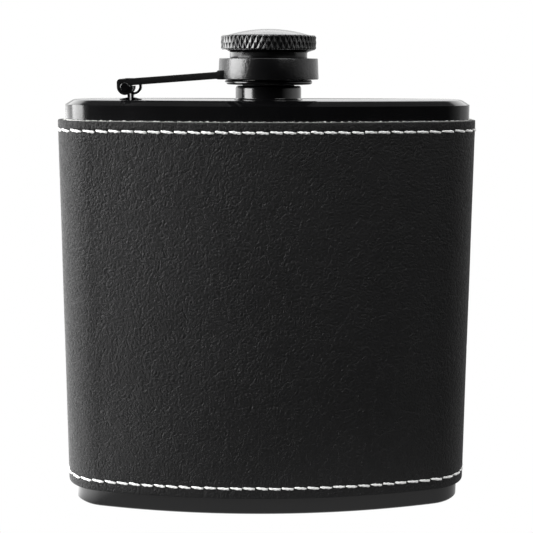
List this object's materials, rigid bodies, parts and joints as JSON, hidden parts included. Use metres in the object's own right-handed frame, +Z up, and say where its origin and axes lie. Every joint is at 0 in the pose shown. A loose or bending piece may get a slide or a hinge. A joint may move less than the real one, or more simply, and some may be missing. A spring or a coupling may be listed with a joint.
{
  "type": "hip flask",
  "caption": "Curved steel hip flask in a stitched black leatherette wrap, with a knurled screw cap held captive by a ring on a hinged arm.",
  "frame": {"origin": "middle of the overall plan size, on the face the flask stands on", "axes": "+Z up along the neck, -Y out of the bulging front, the cap's hinge on the -X side"},
  "size_m": [0.0953, 0.0263, 0.1101],
  "materials": {
    "black_steel": "satin black coating over steel",
    "bare_steel": "turned",
    "seal_rubber": "matt",
    "leatherette": "fine pebble grain, low sheen",
    "lining_cloth": "matt backing cloth",
    "white_thread": "twisted thread"
  },
  "bodies": {
    "flask": {"body_shell": "black_steel", "top_plate": "black_steel", "bottom_plate": "black_steel", "neck_spout": "black_steel", "hinge_eyelet": "black_steel", "leather_wrap": "leatherette", "wrap_lining": "lining_cloth", "top_stitching": "white_thread", "bottom_stitching": "white_thread", "top_under_thread": "white_thread", "bottom_under_thread": "white_thread"},
    "pin": {"hinge_pin": "black_steel"},
    "arm": {"swing_arm": "black_steel", "retainer_ring": "black_steel"},
    "washer": {"retaining_washer": "black_steel"},
    "cap": {"cap_head": "black_steel", "cap_thread_insert": "bare_steel", "seal_disc": "seal_rubber"}
  },
  "joints": [
    {"name": "arm_lift", "type": "hinge", "parent": "flask", "child": "pin", "pos_m": [-0.04113, -0.00156, 0.09742], "axis": [0, -1, 0], "range_deg": [0, 3.66]},
    {"name": "arm_swing", "type": "hinge", "parent": "pin", "child": "arm", "pos_m": [-0.0317, -0.00156, 0.09742], "axis": [0, -1, 0], "range_deg": [0, 176]},
    {"name": "cap_level", "type": "hinge", "parent": "arm", "child": "washer", "pos_m": [-0.0097, -0.00156, 0.09902], "axis": [0, -1, 0], "range_deg": [-3.66, 0]},
    {"name": "cap_turn", "type": "hinge", "parent": "washer", "child": "cap", "pos_m": [0, -0.00156, 0.1006], "axis": [0, 0, 1], "range_deg": [0, 600]}
  ],
  "couplings": [
    {"joint": "arm_lift", "follows": "cap_turn", "ratio": 0.0060905},
    {"joint": "cap_level", "follows": "cap_turn", "ratio": -0.0060905}
  ]
}
